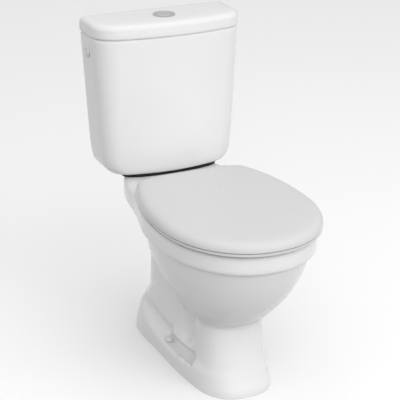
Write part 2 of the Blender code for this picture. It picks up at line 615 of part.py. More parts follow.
def seat_ring(finish):
    """Seat ring: crowned section with a low outer edge for the lid's skirt, and two hinge lugs."""
    outer = seat_loop(0, 0.0015, back=-0.234)
    inner = egg(0, 0.114, -0.582, -0.440, -0.285, squareness=(2.1, 2.3), steps=SEAT_STEPS)
    section = [(0.02, RING_BOTTOM), (0.0, 0.4060), (0.0, 0.4125), (0.012, RING_EDGE_TOP),
               (0.11, RING_EDGE_TOP),
               (0.16, 0.4165), (0.32, 0.4198), (0.58, 0.4205), (0.84, 0.4180), (0.97, 0.4140),
               (1.0, 0.4100),
               (1.0, 0.4060), (0.96, RING_BOTTOM)]
    loops = [[Vector((*outer[k].lerp(inner[k], t).xy, z)) for k in range(SEAT_STEPS)] for t, z in section]
    ring = loft("seat_ring", loops, finish["seat_plastic"], closed=True)
    for side in (-1, 1):
        low, high = sorted((side * 0.0585, side * 0.0710))
        arm = block("ring_lug", (low, -0.245, HINGE_Z - 0.0065), (high, HINGE_Y, HINGE_Z + 0.0020))
        eye = rod("ring_eye", HINGE_EYE, low, high, axis="X", centre=(0, HINGE_Y, HINGE_Z), steps=20)
        hole = rod("lug_cut", PIN_RADIUS + GAP, low - 0.01, high + 0.01, axis="X",
                   centre=(0, HINGE_Y, HINGE_Z), steps=14)
        boolean(ring, "UNION", arm, eye)
        boolean(ring, "DIFFERENCE", hole)
    return ring


def seat_lid(finish):
    """Seat lid: domed shell with a skirt, notched at the back for the hinge posts, with two hinge lugs."""
    sections = ((SEAT_LID_BOTTOM, 0.0012), (0.4165, 0.0), (0.4215, 0.0008), (0.4270, 0.0035),
                (0.4320, 0.009),
                (0.4355, 0.020), (0.4375, 0.040), (SEAT_LID_TOP, 0.075))
    lid = loft("seat_lid", [seat_loop(z, inset) for z, inset in sections], finish["seat_plastic"])
    under = ((0.4100, 0.0050), (0.4250, 0.0065), (0.4315, 0.015))
    hollow = loft("hollow_cut", [seat_loop(z, inset) for z, inset in under])
    boolean(lid, "DIFFERENCE", hollow)
    for side in (-1, 1):
        low, high = sorted((side * 0.0665, side * 0.0885))
        notch = block("notch_cut", (low, HINGE_Y - 0.0125, 0.4100), (high, SEAT_BACK + 0.0090, 0.4312))
        low, high = sorted((side * 0.0840, side * 0.0965))
        arm = block("lid_lug", (low, HINGE_Y - 0.0065, HINGE_Z), (high, HINGE_Y + 0.0065, 0.4330))
        eye = rod("lid_eye", HINGE_EYE, low, high, axis="X", centre=(0, HINGE_Y, HINGE_Z), steps=20)
        hole = rod("lug_cut", PIN_RADIUS + GAP, low - 0.01, high + 0.01, axis="X",
                   centre=(0, HINGE_Y, HINGE_Z), steps=14)
        boolean(lid, "DIFFERENCE", notch)
        boolean(lid, "UNION", arm, eye)
        boolean(lid, "DIFFERENCE", hole)
    return lid


def seat_hinges(finish):
    """Hinge posts with threaded studs through the deck, their pins, washers and wing nuts."""
    for side, hand in ((-1, "left"), (1, "right")):
        x = side * SEAT_HOLE_X
        post = turned(f"hinge_post_{hand}", [
            (0, 0.350), (0.003, 0.350), (0.003, RIM_TOP + GAP), (0.008, RIM_TOP + GAP), (0.008, 0.4055),
            (0.0065, 0.4070),
            (0.0055, 0.4130), (0, 0.4130),
        ], finish["chrome"], (x, HINGE_Y, 0), steps=12)
        neck = block("post_neck", (x - 0.006, HINGE_Y - 0.0055, 0.4065),
                     (x + 0.006, HINGE_Y + 0.0055, HINGE_Z))
        eye = rod("post_eye", HINGE_EYE, x - 0.006, x + 0.006, axis="X", centre=(0, HINGE_Y, HINGE_Z),
                  steps=20)
        hole = rod("post_cut", PIN_RADIUS + GAP, x - 0.02, x + 0.02, axis="X", centre=(0, HINGE_Y, HINGE_Z),
                   steps=14)
        boolean(post, "UNION", neck, eye)
        boolean(post, "DIFFERENCE", hole)
        rod(f"hinge_pin_{hand}", PIN_RADIUS, x - 0.0200, x + 0.0200, finish["chrome"], "X",
            (0, HINGE_Y, HINGE_Z), 14)
        turned(f"seat_washer_{hand}", [
            (0.0033, 0.3758), (0.0120, 0.3758), (0.0120, 0.3797), (0.0033, 0.3797),
        ], finish["black_rubber"], (x, HINGE_Y, 0), steps=12)
        wing_nut(f"seat_wing_nut_{hand}", (x, HINGE_Y, 0.3655), 0.0033, 0.0100, 0.017,
                 finish["white_plastic"])


def buffers(finish):
    """Rubber feet under the ring, and studs under the lid."""
    places = [(-0.080, -0.590), (0.080, -0.590), (-0.149, -0.360), (0.149, -0.360)]
    for number, (x, y) in enumerate(places, 1):
        turned(f"ring_buffer_{number}", [
            (0, RIM_TOP + GAP), (0.0050, RIM_TOP + GAP), (0.0060, RIM_TOP + 0.0012),
            (0.0060, RING_BOTTOM - GAP),
            (0, RING_BOTTOM - GAP),
        ], finish["black_rubber"], (x, y, 0), steps=14)
    for side, hand in ((-1, "left"), (1, "right")):
        turned(f"lid_buffer_{hand}", [
            (0, 0.4210), (0.0040, 0.4210), (0.0055, 0.4225), (0.0060, 0.4312), (0, 0.4312),
        ], finish["black_rubber"], (side * 0.085, -0.585, 0), steps=14)


def floor_fixings(finish):
    """Plastic sleeves in the foot's screw holes and the caps that cover the screw heads."""
    for side, hand in ((-1, "left"), (1, "right")):
        centre = (side * FLOOR_HOLE_X, FLOOR_HOLE_Y, 0)
        top = FOOT_LEDGE + GAP
        turned(f"floor_sleeve_{hand}", [
            (0.0035, 0.004), (0.0056, 0.004), (0.0056, top), (0.0085, top), (0.0085, top + 0.002),
            (0.0035, top + 0.002),
        ], finish["white_plastic"], centre, steps=12)
        turned(f"floor_cap_{hand}", [
            (0, top + 0.0023), (0.0090, top + 0.0023), (0.0090, top + 0.0050), (0.0070, top + 0.0080),
            (0.0035, top + 0.0095), (0, top + 0.0098),
        ], finish["white_plastic"], centre, steps=12)


def hang(name, pivot, pieces, parent):
    """Empty on a joint's axis that carries the pieces which move about or along it."""
    empty = bpy.data.objects.new(name, None)
    empty.location = pivot
    empty.parent = parent
    bpy.context.scene.collection.objects.link(empty)
    for piece in pieces:
        obj = bpy.data.objects[piece]
        helpers = [step.object for step in obj.modifiers if step.type == "BOOLEAN"]
        for each in (obj, *helpers):
            each.parent = empty
            each.location = -Vector(pivot)


def main():
    cleared_scene()
    finish = finishes()
    pan(finish["china"])
    tank(finish["china"])
    tank_lid(finish["china"])
    coupling(finish)
    flush_valve(finish)
    flush_button(finish)
    fill_valve(finish)
    side_plug(finish)
    seat_ring(finish)
    seat_lid(finish)
    seat_hinges(finish)
    buffers(finish)
    floor_fixings(finish)

    middle = bpy.data.objects.new("toilet", None)
    middle.location = (0, HALF_DEPTH, 0)
    bpy.context.scene.collection.objects.link(middle)
    for obj in list(bpy.data.objects):
        if obj is not middle and not obj.parent:
            obj.parent = middle
    hinge = (0, HINGE_Y, HINGE_Z)
    hang("seat_hinge", hinge, ["seat_ring"] + [f"ring_buffer_{n}" for n in range(1, 5)], middle)
    hang("lid_hinge", hinge, ["seat_lid", "lid_buffer_left", "lid_buffer_right"], middle)
    hang("full_flush_slide", (0, VALVE_Y, LID_TOP), ["full_flush_button", "full_flush_rod"], middle)
    hang("half_flush_slide", (0, VALVE_Y, LID_TOP), ["half_flush_button", "half_flush_rod"], middle)
    hang("riser_slide", (0, VALVE_Y, TANK_BASE), ["overflow_riser", "riser_seal"], middle)
    hang("float_hinge", (ARM_PIVOT_X, SIDE_HOLE_Y, ARM_PIVOT_Z), ["float_arm", "float"], middle)


main()
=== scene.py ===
"""Close coupled toilet: its china, seat, button and fittings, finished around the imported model."""

import math

import bmesh
import bpy
import numpy as np
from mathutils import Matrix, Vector


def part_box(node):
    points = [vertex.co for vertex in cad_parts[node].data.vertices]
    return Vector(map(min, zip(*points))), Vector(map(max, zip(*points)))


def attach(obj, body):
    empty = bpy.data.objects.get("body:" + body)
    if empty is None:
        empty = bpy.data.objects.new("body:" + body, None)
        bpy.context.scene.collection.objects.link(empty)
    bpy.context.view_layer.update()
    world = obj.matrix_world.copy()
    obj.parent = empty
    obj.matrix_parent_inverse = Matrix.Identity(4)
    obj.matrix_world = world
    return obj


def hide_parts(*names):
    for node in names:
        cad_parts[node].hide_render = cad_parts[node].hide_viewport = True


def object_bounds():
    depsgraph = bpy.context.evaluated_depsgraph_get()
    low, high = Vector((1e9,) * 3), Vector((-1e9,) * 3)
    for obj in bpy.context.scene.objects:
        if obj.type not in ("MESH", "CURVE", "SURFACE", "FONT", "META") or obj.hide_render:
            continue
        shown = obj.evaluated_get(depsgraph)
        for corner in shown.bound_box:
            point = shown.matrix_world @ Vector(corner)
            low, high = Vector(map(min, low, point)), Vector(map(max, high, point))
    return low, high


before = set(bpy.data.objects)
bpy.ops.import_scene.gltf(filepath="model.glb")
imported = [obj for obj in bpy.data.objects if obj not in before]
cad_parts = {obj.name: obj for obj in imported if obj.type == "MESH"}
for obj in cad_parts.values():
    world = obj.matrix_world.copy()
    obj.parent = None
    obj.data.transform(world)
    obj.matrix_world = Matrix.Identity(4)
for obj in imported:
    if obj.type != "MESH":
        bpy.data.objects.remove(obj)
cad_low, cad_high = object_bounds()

# Pan. One slip casting of vitreous china: bowl, rim, deck, front column, trapway and foot, glazed
# white and fired. It is drawn from the wall face, y = 0, and moved out to the part's own origin.
WALL = cad_high.y
RIM_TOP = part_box("pan")[1].z
RIM_BAND = 0.045
RIM_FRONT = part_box("pan")[0].y - WALL
RIM_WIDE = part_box("pan")[1].x
DECK_BACK = -0.015
DECK_NECK = -0.200
FOOT_FRONT = -0.5365
FLOOR_BELOW = -0.012
VALVE_Y = -0.072
FOOT_LEDGE = 0.042
OUTLET_Y = -0.190
TRAP_RADIUS = 0.038
FLUSH_WAY_Z = 0.352
FLUSH_WAY_RADIUS = 0.022
GRAIN = 0.0041
ROUND = 144


class Value:
    """A number or vector inside a node tree: sums and products of it become Math nodes."""

    def __init__(self, tree, socket):
        self.tree = tree
        self.socket = socket

    def math(self, operation, first, second=0.0):
        return self.tree.node("ShaderNodeMath", {"operation": operation}, {0: first, 1: second})

    def __add__(self, other):
        return self.math("ADD", self, other)

    def __sub__(self, other):
        return self.math("SUBTRACT", self, other)

    def __rsub__(self, other):
        return self.math("SUBTRACT", other, self)

    def __mul__(self, other):
        return self.math("MULTIPLY", self, other)

    def __truediv__(self, other):
        return self.math("DIVIDE", self, other)

    def __rtruediv__(self, other):
        return self.math("DIVIDE", other, self)

    def __pow__(self, other):
        return self.math("POWER", self, other)

    def __gt__(self, other):
        return self.math("GREATER_THAN", self, other)

    def __abs__(self):
        return self.math("ABSOLUTE", self)

    def floor(self):
        return self.math("FLOOR", self)

    def sine(self):
        return self.math("SINE", self)

    def cosine(self):
        return self.math("COSINE", self)

    def sign(self):
        return self.math("SIGN", self)

    def root(self):
        return self.math("SQRT", self)

    def at_most(self, other):
        return self.math("MINIMUM", self, other)

    def at_least(self, other):
        return self.math("MAXIMUM", self, other)

    __radd__ = __add__
    __rmul__ = __mul__


class Nodes:
    """A node tree to build in, with one way to add any node."""

    def __init__(self, tree):
        self.tree = tree

    def put(self, socket, value):
        if isinstance(value, Value):
            self.tree.links.new(value.socket, socket)
        else:
            socket.default_value = value

    def node(self, kind, settings=None, sockets=None, output=0):
        node = self.tree.nodes.new(kind)
        for name, value in (settings or {}).items():
            if name == "stops":
                for stop, (place, colour) in zip(node.color_ramp.elements, value):
                    stop.position = place
                    stop.color = colour
            else:
                setattr(node, name, value)
        for name, value in (sockets or {}).items():
            self.put(node.inputs[name], value)
        return Value(self, node.outputs[output])


class Finish(Nodes):
    """A finish of the toilet: a principled shader whose colour, roughness and relief vary."""

    def __init__(self, name, **fixed):
        self.material = bpy.data.materials.new(name)
        self.material.use_nodes = True
        super().__init__(self.material.node_tree)
        self.shader = self.tree.nodes["Principled BSDF"]
        for socket, value in fixed.items():
            label = socket.replace("_", " ").title().replace("Ior", "IOR")
            self.shader.inputs[label].default_value = value
        self.place = self.node("ShaderNodeTexCoord", output="Object")

    def noise(self, scale, detail=2.0, stretch=None):
        place = self.place
        if stretch:
            place = self.node("ShaderNodeMapping", {}, {"Vector": place, "Scale": stretch})
        sockets = {"Vector": place, "Scale": scale, "Detail": detail}
        return self.node("ShaderNodeTexNoise", {"noise_dimensions": "3D"}, sockets)

    def specks(self, scale, size):
        """1 inside small round specks, 0 elsewhere, with a soft edge."""
        cells = self.node("ShaderNodeTexVoronoi", {"feature": "F1"}, {"Vector": self.place, "Scale": scale})
        sockets = {"Value": cells, "From Min": size, "From Max": size * 0.6}
        return self.node("ShaderNodeMapRange", {"interpolation_type": "SMOOTHSTEP"}, sockets)

    def colours(self, amount, first, second):
        ends = [end if isinstance(end, Value) else (*end, 1) for end in (first, second)]
        sockets = {0: amount, 6: ends[0], 7: ends[1]}
        return self.node("ShaderNodeMix", {"data_type": "RGBA"}, sockets, output=2)

    def colour(self, value):
        self.put(self.shader.inputs["Base Color"], value)

    def mottled(self, scale, detail, first, second):
        """Two close shades of one colour, mixed by soft noise."""
        self.colour(self.colours(self.noise(scale, detail), first, second))

    def roughness(self, value):
        self.put(self.shader.inputs["Roughness"], value)

    def relief(self, height, depth, strength=1.0):
        bump = self.node("ShaderNodeBump", {}, {"Height": height, "Distance": depth, "Strength": strength})
        self.put(self.shader.inputs["Normal"], bump)


china = Finish("china_glaze", ior=1.52, coat_weight=0.3, coat_roughness=0.06)
clouded = china.colours(china.noise(5.0, 3.0), (0.815, 0.815, 0.812), (0.780, 0.781, 0.777))
pinholes = china.specks(150.0, 0.055)
china.colour(china.colours(pinholes * 0.10, clouded, (0.30, 0.28, 0.25)))
china.roughness(0.13 + 0.08 * china.noise(14.0, 2.0))
peel = china.noise(70.0, 1.0) * 0.7 + china.noise(260.0, 1.0) * 0.3
china.relief(peel - 0.4 * pinholes, 0.0005, 0.22)
china = china.material


def powered(value, exponent):
    return np.sign(value) * np.abs(value) ** exponent


def egg(z, wide, front, middle, back, rear_wide, front_bend, rear_bend, neck=-0.150, steps=ROUND):
    """Egg-shaped ring at height z; rear_wide narrows it between its middle and the neck."""
    turn = np.arange(steps) * 2 * math.pi / steps
    c, s = np.cos(turn), np.sin(turn)
    bend = np.where(c > 0, front_bend, rear_bend)
    x = wide * powered(s, 2 / bend)
    y = middle - np.where(c > 0, middle - front, back - middle) * powered(c, 2 / bend)
    along = np.clip((y - middle) / (neck - middle), 0, 1)
    x = x * (1 + (rear_wide / wide - 1) * along * along * (3 - 2 * along))
    return np.column_stack([x, y, np.full(steps, z)])


def eased_rows(rows, pitch):
    """The rows of numbers, with more between them on a smooth curve that passes through each."""
    rows = np.array(rows, float)
    step = np.linalg.norm(np.diff(rows[:, :3], axis=0), axis=1)
    at = np.concatenate([[0], np.cumsum(step)])
    slope = np.diff(rows, axis=0) / step[:, None]
    bend = np.zeros_like(rows)
    before, after = slope[:-1], slope[1:]
    same = before * after > 0
    total = np.where(same, before + after, 1)
    bend[1:-1] = np.where(same, 2 * before * after / total, 0)
    bend[0], bend[-1] = slope[0], slope[-1]
    out = []
    for k in range(len(rows) - 1):
        count = max(1, round(step[k] / pitch))
        for t in np.arange(count) / count:
            low = (1 + 2 * t) * (1 - t) ** 2 * rows[k] + t * (1 - t) ** 2 * step[k] * bend[k]
            high = t * t * (3 - 2 * t) * rows[k + 1] + t * t * (t - 1) * step[k] * bend[k + 1]
            out.append(low + high)
    out.append(rows[-1])
    return out


def object_of(name, bm, material, sharp=38):
    """A finished mesh from bmesh, moved out from the wall, faces out and shaded smooth."""
    bmesh.ops.translate(bm, verts=bm.verts, vec=(0, WALL, 0))
    bmesh.ops.recalc_face_normals(bm, faces=bm.faces)
    mesh = bpy.data.meshes.new(name)
    bm.to_mesh(mesh)
    bm.free()
    mesh.materials.append(material)
    mesh.shade_smooth()
    mesh.set_sharp_from_angle(angle=math.radians(sharp))
    obj = bpy.data.objects.new(name, mesh)
    bpy.context.scene.collection.objects.link(obj)
    return obj


def skinned(name, rings, material, closed=False, sharp=38):
    """Skin through rings of equal count, capped at both ends or joined up into a torus."""
    bm = bmesh.new()
    verts = [[bm.verts.new(point) for point in ring] for ring in rings]
    pairs = list(zip(verts, verts[1:]))
    if closed:
        pairs.append((verts[-1], verts[0]))
    for low, high in pairs:
        for k in range(len(low)):
            after = (k + 1) % len(low)
            bm.faces.new((low[k], low[after], high[after], high[k]))
    if not closed:
        bm.faces.new(verts[0])
        bm.faces.new(list(reversed(verts[-1])))
    return object_of(name, bm, material, sharp)


def plain(obj):
    """The object with its modifiers turned into plain mesh."""
    graph = bpy.context.evaluated_depsgraph_get()
    mesh = bpy.data.meshes.new_from_object(obj.evaluated_get(graph), depsgraph=graph)
    obj.modifiers.clear()
    obj.data = mesh
    return obj


def combined(obj, operation, others, solver="MANIFOLD"):
    """Boolean of closed pieces, applied; the others are used up."""
    for other in others:
        step = obj.modifiers.new(operation.lower(), "BOOLEAN")
        step.operation = operation
        step.solver = solver
        step.object = other
    plain(obj)
    for other in others:
        bpy.data.objects.remove(other)
    return obj


def turned(name, profile, material, centre, axis="Z", steps=64, sharp=38):
    """Solid of revolution from (radius, height) points, about an axis through centre."""
    hollow = all(radius > 0 for radius, _ in profile)
    turn = np.arange(steps) * 2 * math.pi / steps
    round_unit = np.column_stack([np.cos(turn), np.sin(turn)])
    swap = {"Z": (0, 1, 2), "X": (2, 0, 1), "Y": (0, 2, 1)}[axis]
    rings = []
    for radius, height in profile:
        if radius <= 0:
            continue
        flat = np.column_stack([round_unit * radius, np.full(steps, height)])
        rings.append(flat[:, swap] + np.array(centre))
    return skinned(name, rings, material, hollow, sharp)


def rod(name, radius, low, high, material, centre, axis="Z", steps=64):
    """Plain round bar between two places along its axis."""
    return turned(name, [(0, low), (radius, low), (radius, high), (0, high)], material, centre, axis, steps)


def pocket_ring(line, half, z, steps=12):
    """Ring round a bent line at height z, half as wide as the pocket, with round ends."""
    line = np.array(line)
    rear = line[0] - line[1]
    ahead = line[-1] - line[-2]
    turn = np.radians(np.linspace(-90, 90, steps + 1))

    def cap(centre, way):
        way = way / np.linalg.norm(way)
        across = np.array((-way[1], way[0]))
        return centre + half * (np.outer(np.cos(turn), way) + np.outer(np.sin(turn), across))

    bend = line[1:-1]
    way = (ahead - rear) / np.linalg.norm(ahead - rear)
    across = half * np.array((-way[1], way[0]))
    flat = np.vstack([cap(line[0], rear), bend - across, cap(line[-1], ahead), bend[::-1] + across])
    return np.column_stack([flat, np.full(len(flat), z)])


def egg_stack(name, rows, pitch=0.006):
    return skinned(name, [egg(*row) for row in eased_rows(rows, pitch)], china)


def pipe(name, route, radius, material, steps=40):
    """Round tube along a smooth curve through the route's points, closed at both ends."""
    rows = eased_rows([(*point, 0) for point in route], 0.008)
    path = np.array(rows)[:, :3]
    ahead = np.gradient(path, axis=0)
    rings = []
    turn = np.arange(steps) * 2 * math.pi / steps
    for point, way in zip(path, ahead):
        way = way / np.linalg.norm(way)
        side = np.array((1.0, 0, 0))
        rise = np.cross(way, side)
        rings.append(point + radius * (np.outer(np.cos(turn), side) + np.outer(np.sin(turn), rise)))
    return skinned(name, rings, material)


rim_low = RIM_TOP - RIM_BAND
# Each row of the rim: height, drawn in at the sides and front, drawn in at the back.
rim_rows = [
    (rim_low + 0.0005, 0.0110, 0.0060), (rim_low + 0.0022, 0.0040, 0.0015),
    (rim_low + 0.0055, 0.0010, 0.0003), (rim_low + 0.012, 0.0002, 0.0),
    (RIM_TOP - 0.010, 0.0, 0.0), (RIM_TOP - 0.003, 0.0017, 0.0020), (RIM_TOP, 0.0055, 0.0060),
]
rim = egg_stack("pan_casting", [
    (z, RIM_WIDE - inset, RIM_FRONT + inset, -0.400, DECK_BACK - rear, 0.150 - rear, 2.2, 3, DECK_NECK)
    for z, inset, rear in rim_rows
])
# Each row from here: height, half width, front, middle, back, half width at the rear, bends, neck.
shell = egg_stack("shell", [
    (0.158, 0.068, -0.485, -0.440, -0.405, 0.068, 2.1, 2.2, DECK_NECK),
    (0.168, 0.080, -0.506, -0.438, -0.395, 0.080, 2.1, 2.2, DECK_NECK),
    (0.190, 0.097, -0.534, -0.430, -0.362, 0.097, 2.1, 2.2, DECK_NECK),
    (0.220, 0.117, -0.564, -0.425, -0.330, 0.117, 2.1, 2.2, DECK_NECK),
    (0.260, 0.141, -0.596, -0.420, -0.285, 0.141, 2.1, 2.2, DECK_NECK),
    (0.300, 0.157, -0.620, -0.415, -0.225, 0.157, 2.1, 2.3, DECK_NECK),
    (0.330, 0.1665, -0.634, -0.410, -0.130, 0.133, 2.1, 3, DECK_NECK),
    (rim_low - 0.004, 0.1705, -0.642, -0.405, -0.050, 0.138, 2.1, 3, DECK_NECK),
    (rim_low + 0.012, 0.1715, -0.644, -0.400, -0.030, 0.140, 2.1, 3, DECK_NECK),
])
column = egg_stack("column", [
    (FLOOR_BELOW, 0.094, -0.5340, -0.420, -0.380, 0.094, 2.5, 3),
    (0.010, 0.091, -0.5300, -0.420, -0.380, 0.091, 2.5, 3),
    (0.060, 0.0815, -0.5125, -0.420, -0.383, 0.0815, 2.5, 3),
    (0.120, 0.0765, -0.5015, -0.420, -0.385, 0.0765, 2.5, 3),
    (0.160, 0.0755, -0.4990, -0.420, -0.385, 0.0755, 2.4, 3),
    (0.205, 0.0760, -0.5000, -0.420, -0.370, 0.0760, 2.2, 3),
])
trapway = egg_stack("trapway", [
    (0.019, 0.086, -0.400, -0.240, -0.096, 0.086, 2.4, 3),
    (0.090, 0.084, -0.405, -0.240, -0.100, 0.084, 2.4, 3),
    (0.150, 0.082, -0.410, -0.235, -0.097, 0.082, 2.6, 3),
    (0.200, 0.080, -0.420, -0.230, -0.098, 0.080, 2.8, 3),
    (0.250, 0.079, -0.420, -0.230, -0.104, 0.079, 3, 3),
    (0.290, 0.079, -0.420, -0.230, -0.106, 0.079, 3, 3),
    (0.360, 0.085, -0.420, -0.230, -0.096, 0.085, 3, 3),
])
foot = egg_stack("foot", [
    (FLOOR_BELOW, 0.1010, FOOT_FRONT, -0.250, -0.064, 0.105, 3.1, 5, -0.150),
    (0.006, 0.1020, FOOT_FRONT, -0.250, -0.066, 0.105, 3.1, 5, -0.150),
    (0.035, 0.1025, -0.5230, -0.250, -0.077, 0.1045, 3.1, 5, -0.150),
    (0.052, 0.1010, -0.5160, -0.250, -0.085, 0.104, 3.1, 5, -0.150),
    (0.062, 0.0940, -0.5110, -0.250, -0.090, 0.1035, 3, 5, -0.150),
    (0.080, 0.0840, -0.5040, -0.250, -0.100, 0.1030, 2.9, 5, -0.150),
    (0.105, 0.0780, -0.4900, -0.255, -0.116, 0.1010, 2.85, 4.5, -0.165),
    (0.125, 0.0700, -0.4700, -0.260, -0.130, 0.0985, 2.85, 4, -0.180),
    (0.140, 0.0600, -0.4500, -0.270, -0.150, 0.0940, 2.85, 3.5, -0.190),
    (0.150, 0.0550, -0.4300, -0.270, -0.178, 0.0850, 2.85, 3, -0.200),
])
horn = egg_stack("horn", [
    (0.305, 0.028, -0.120, -0.100, -0.052, 0.028, 2.5, 2.5),
    (0.322, 0.048, -0.150, -0.100, -0.030, 0.048, 2.5, 2.5),
    (0.375, 0.060, -0.200, -0.100, -0.024, 0.060, 2.5, 2.5),
])
pan = combined(rim, "UNION", [shell, column, trapway, foot, horn])

# On both sides a trough runs down to the floor screw's pocket, whose inner wall is undercut, and a
# crease parts the front column from the trapway.
channels = []
for side in (-1, 1):
    trough = [
        (0.1100, -0.075, 0.119), (0.1080, -0.110, 0.109), (0.1060, -0.144, 0.097), (0.1030, -0.176, 0.085),
        (0.1000, -0.208, 0.075), (0.0980, -0.237, 0.068), (0.0970, -0.265, 0.066), (0.0960, -0.300, 0.068),
    ]
    crease = [
        (0.0900, -0.310, 0.206), (0.0830, -0.338, 0.184), (0.0795, -0.356, 0.157), (0.0795, -0.364, 0.126),
        (0.0850, -0.364, 0.096), (0.0960, -0.360, 0.076),
    ]
    channels.append(pipe("trough", [(side * x, y, z) for x, y, z in trough], 0.0220, china))
    channels.append(pipe("crease", [(side * x, y, z) for x, y, z in crease], 0.0260, china))
    shelf = np.array(((0.0, -0.284), (0.001, -0.345), (-0.007, -0.410)))
    undercut = (
        (0.0820, 0.0150, FOOT_LEDGE - 0.002), (0.0830, 0.0160, FOOT_LEDGE + 0.003), (0.0880, 0.0150, 0.056),
        (0.0940, 0.0120, 0.067), (0.0980, 0.0070, 0.074),
    )
    rings = [pocket_ring((shelf + (x, 0)) * (side, 1), half, z) for x, half, z in undercut]
    channels.append(skinned("shelf", rings, china))
combined(pan, "DIFFERENCE", channels)

bowl = egg_stack("bowl", [
    (0.108, 0.034, -0.415, -0.370, -0.325, 0.034, 2, 2),
    (0.135, 0.046, -0.440, -0.375, -0.305, 0.046, 2, 2.2),
    (0.160, 0.047, -0.455, -0.395, -0.300, 0.047, 2, 2.2),
    (0.190, 0.062, -0.490, -0.425, -0.297, 0.062, 2, 2.2),
    (0.240, 0.098, -0.548, -0.450, -0.290, 0.098, 2, 2.3),
    (0.300, 0.128, -0.590, -0.440, -0.275, 0.128, 2.1, 2.4),
    (0.352, 0.146, -0.617, -0.420, -0.262, 0.146, 2.1, 2.4),
    (0.372, 0.142, -0.612, -0.420, -0.266, 0.142, 2.1, 2.4),
    (0.384, 0.127, -0.593, -0.420, -0.276, 0.127, 2.1, 2.4),
    (0.394, 0.127, -0.593, -0.420, -0.276, 0.127, 2.1, 2.4),
    (0.403, 0.131, -0.597, -0.420, -0.272, 0.131, 2.1, 2.4),
])
# Inside: the trap rises over its weir and falls to the outlet; the flush bore meets the bowl's back.
trap = pipe("trap", [
    (0, -0.372, 0.146), (0, -0.322, 0.166), (0, -0.270, 0.222), (0, -0.218, 0.236),
    (0, -0.192, 0.180), (0, OUTLET_Y, 0.100), (0, OUTLET_Y, -0.020),
], TRAP_RADIUS, china)
outlet = rod("outlet", 0.045, -0.020, 0.050, china, (0, OUTLET_Y, 0))
inlet = rod("inlet", 0.033, 0.330, 0.410, china, (0, VALVE_Y, 0))
flush_way = rod("flush_way", FLUSH_WAY_RADIUS, -0.290, VALVE_Y, china, (0, 0, FLUSH_WAY_Z), "Y")
hollow = egg_stack("hollow", [
    (-0.020, 0.082, -0.515, -0.400, -0.262, 0.082, 2.4, 6),
    (0.015, 0.074, -0.505, -0.400, -0.266, 0.074, 2.4, 6),
    (0.035, 0.056, -0.490, -0.400, -0.270, 0.056, 2.4, 6),
    (0.078, 0.042, -0.465, -0.400, -0.290, 0.042, 2.4, 4),
])
pan = combined(pan, "DIFFERENCE", [bowl, trap, outlet, inlet, flush_way, hollow])
# The joined shapes become one skin, and smoothing stands for the glaze over every edge.
remesh = pan.modifiers.new("cast", "REMESH")
remesh.mode = "VOXEL"
remesh.voxel_size = GRAIN
remesh.use_smooth_shade = True
soften = pan.modifiers.new("glaze_thickness", "SMOOTH")
soften.factor = 0.5
soften.iterations = 5
plain(pan)
# The glaze fills the foot's hollow corners more than it does the rim's.
heights = np.array([corner.co.z for corner in pan.data.vertices])
rounding = pan.vertex_groups.new(name="foot")
for level in range(1, 9):
    band = np.flatnonzero(np.round(8 * np.clip((0.235 - heights) / 0.05, 0, 1)) == level)
    rounding.add(band.tolist(), level / 8, "REPLACE")
soften = pan.modifiers.new("glaze_thick_in_corners", "SMOOTH")
soften.factor = 0.5
soften.iterations = 14
soften.vertex_group = "foot"
plain(pan)
ground = skinned("ground", [egg(z, 0.4, -0.9, -0.3, 0.2, 0.4, 4, 4, steps=8) for z in (-0.1, 0.0)], china)
combined(pan, "DIFFERENCE", [ground])
pan.data.materials.clear()
pan.data.materials.append(china)
pan.data.shade_smooth()
pan.data.set_sharp_from_angle(angle=math.radians(60))
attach(pan, "root")
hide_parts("pan")

# Coupling. A black foam pad, a doughnut seal and two brass bolts clamp the cistern to the deck, each
# bolt with a rubber washer inside and a steel plate and wing nut under the deck.
rubber_black = Finish("rubber_black", specular_ior_level=0.3)
rubber_black.mottled(60.0, 3.0, (0.010, 0.010, 0.010), (0.022, 0.022, 0.023))
rubber_black.roughness(0.62 + 0.2 * rubber_black.noise(120.0))
rubber_black.relief(rubber_black.noise(420.0, 3.0), 0.0006, 0.6)

brass = Finish("turned_brass", metallic=1.0)
brass.mottled(45.0, 4.0, (0.70, 0.52, 0.24), (0.56, 0.39, 0.17))
brass.roughness(0.22 + 0.22 * brass.noise(80.0, 3.0))
brass.relief(brass.noise(30.0, 2.0, (1.0, 1.0, 60.0)), 0.0002, 0.5)

zinc = Finish("zinc_plate", metallic=1.0)
zinc.mottled(150.0, 2.0, (0.62, 0.64, 0.66), (0.47, 0.49, 0.52))
zinc.roughness(0.30 + 0.22 * zinc.noise(90.0, 3.0))
zinc.relief(zinc.noise(300.0, 2.0), 0.0001, 0.4)


def refinished(finish, *names):
    """A CAD node that stays as it is takes its final finish."""
    for name in names:
        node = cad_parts[name]
        node.data.materials.clear()
        node.data.materials.append(finish)


refinished(rubber_black.material, "coupling_pad", "doughnut_seal", "flush_valve_washer", "riser_seal",
           "inlet_washer", "tank_bolt_washer_left", "tank_bolt_washer_right",
           "seat_washer_left", "seat_washer_right")
refinished(brass.material, "tank_bolt_left", "tank_bolt_right", "tank_wing_nut_left",
           "tank_wing_nut_right", "inlet_shank", "inlet_backnut")
refinished(zinc.material, "tank_bolt_plate_left", "tank_bolt_plate_right", "float_arm_pin")


